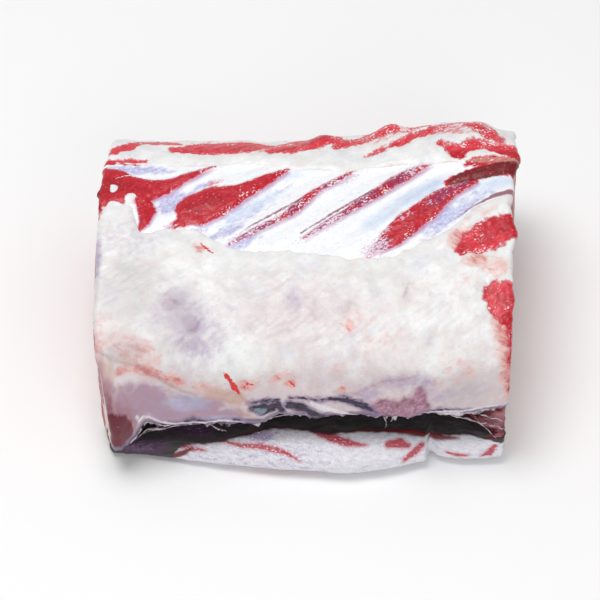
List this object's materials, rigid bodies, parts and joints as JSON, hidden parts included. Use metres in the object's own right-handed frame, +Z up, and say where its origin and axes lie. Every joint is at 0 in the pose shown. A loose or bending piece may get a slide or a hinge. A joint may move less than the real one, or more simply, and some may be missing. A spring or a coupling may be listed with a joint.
{
  "type": "raw beef ribeye roll",
  "caption": "Boneless raw beef ribeye roll lying on its flat side: fat-covered lip over an open cleft, rib bed with lean stripes on top, cut faces at both ends.",
  "frame": {"origin": "centre of the footprint of the roll's bounding box, on the surface it lies on", "axes": "+X along the roll's length from cut face to cut face, -Y to the open lip side, +Z up"},
  "size_m": [0.327, 0.2736, 0.1351],
  "materials": {
    "raw_beef": "moist raw beef: cream-white fat, pale blue membrane and bright red lean"
  },
  "bodies": {
    "root": {"ribeye_roll": "raw_beef"}
  },
  "joints": []
}
